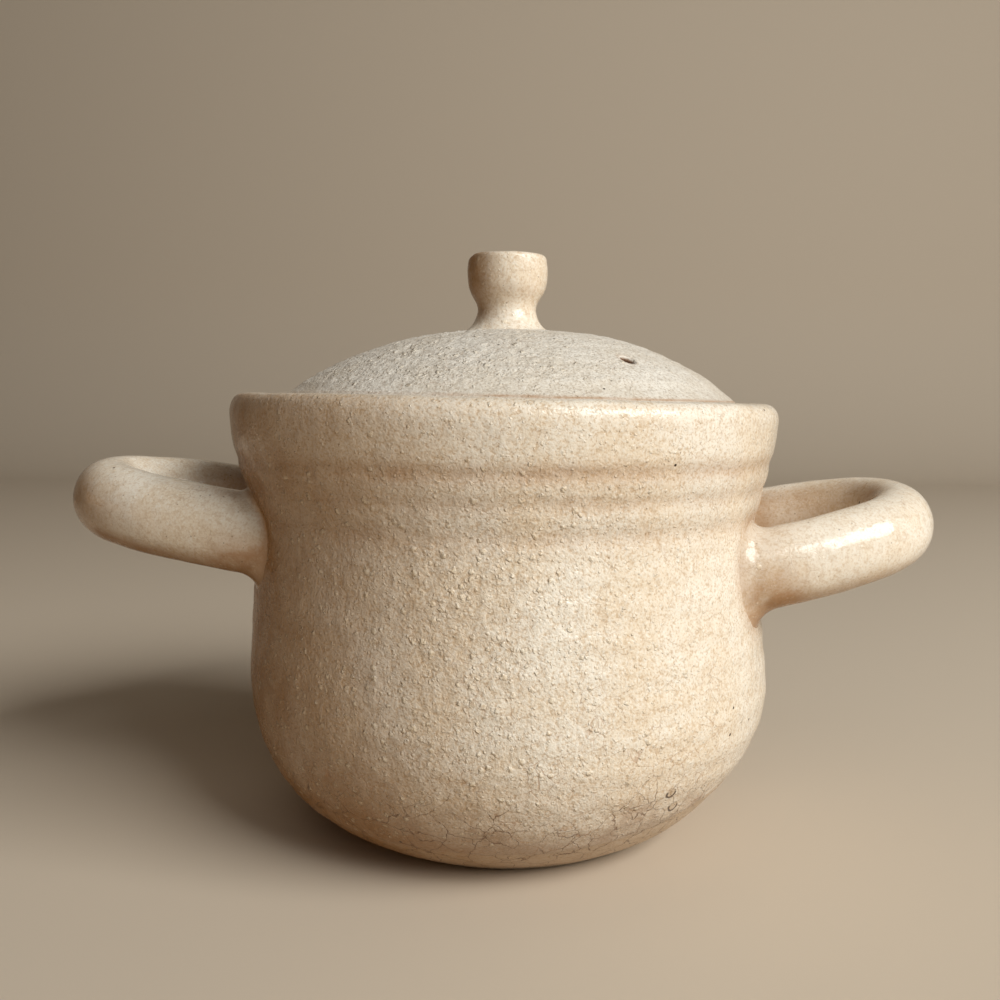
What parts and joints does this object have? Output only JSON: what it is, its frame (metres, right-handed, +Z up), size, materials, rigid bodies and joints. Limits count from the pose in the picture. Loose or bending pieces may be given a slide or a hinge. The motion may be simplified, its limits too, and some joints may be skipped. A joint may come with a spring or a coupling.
{
  "type": "lidded ceramic pot",
  "caption": "Round hand-thrown stoneware pot with a domed knob lid seated inside its thick rim and a thick loop handle on each side, for warming stones or food.",
  "frame": {"origin": "on the surface the pot stands on, at the axis of the pot", "axes": "+Z up along the pot's turning axis and the lid's lift, +X to the right handle, -Y to the front"},
  "size_m": [0.2714, 0.1692, 0.1776],
  "materials": {
    "pot_glaze": "cream crackle glaze over gritty stoneware, satin to glossy, with dark craze lines near the base",
    "handle_glaze": "smooth glossy cream glaze, browner where it pools at the joints",
    "lid_glaze": "thin satin greyish-cream glaze, rough and gritty",
    "knob_glaze": "smooth satin cream glaze"
  },
  "bodies": {
    "pot": {"pot_body": "pot_glaze", "handle_left": "handle_glaze", "handle_right": "handle_glaze"},
    "lid": {"lid_dome": "lid_glaze", "lid_knob": "knob_glaze"}
  },
  "joints": [
    {"name": "lid_lift", "type": "slide", "parent": "pot", "child": "lid", "axis": [0, 0, 1], "range_m": [0, 0.12]}
  ]
}
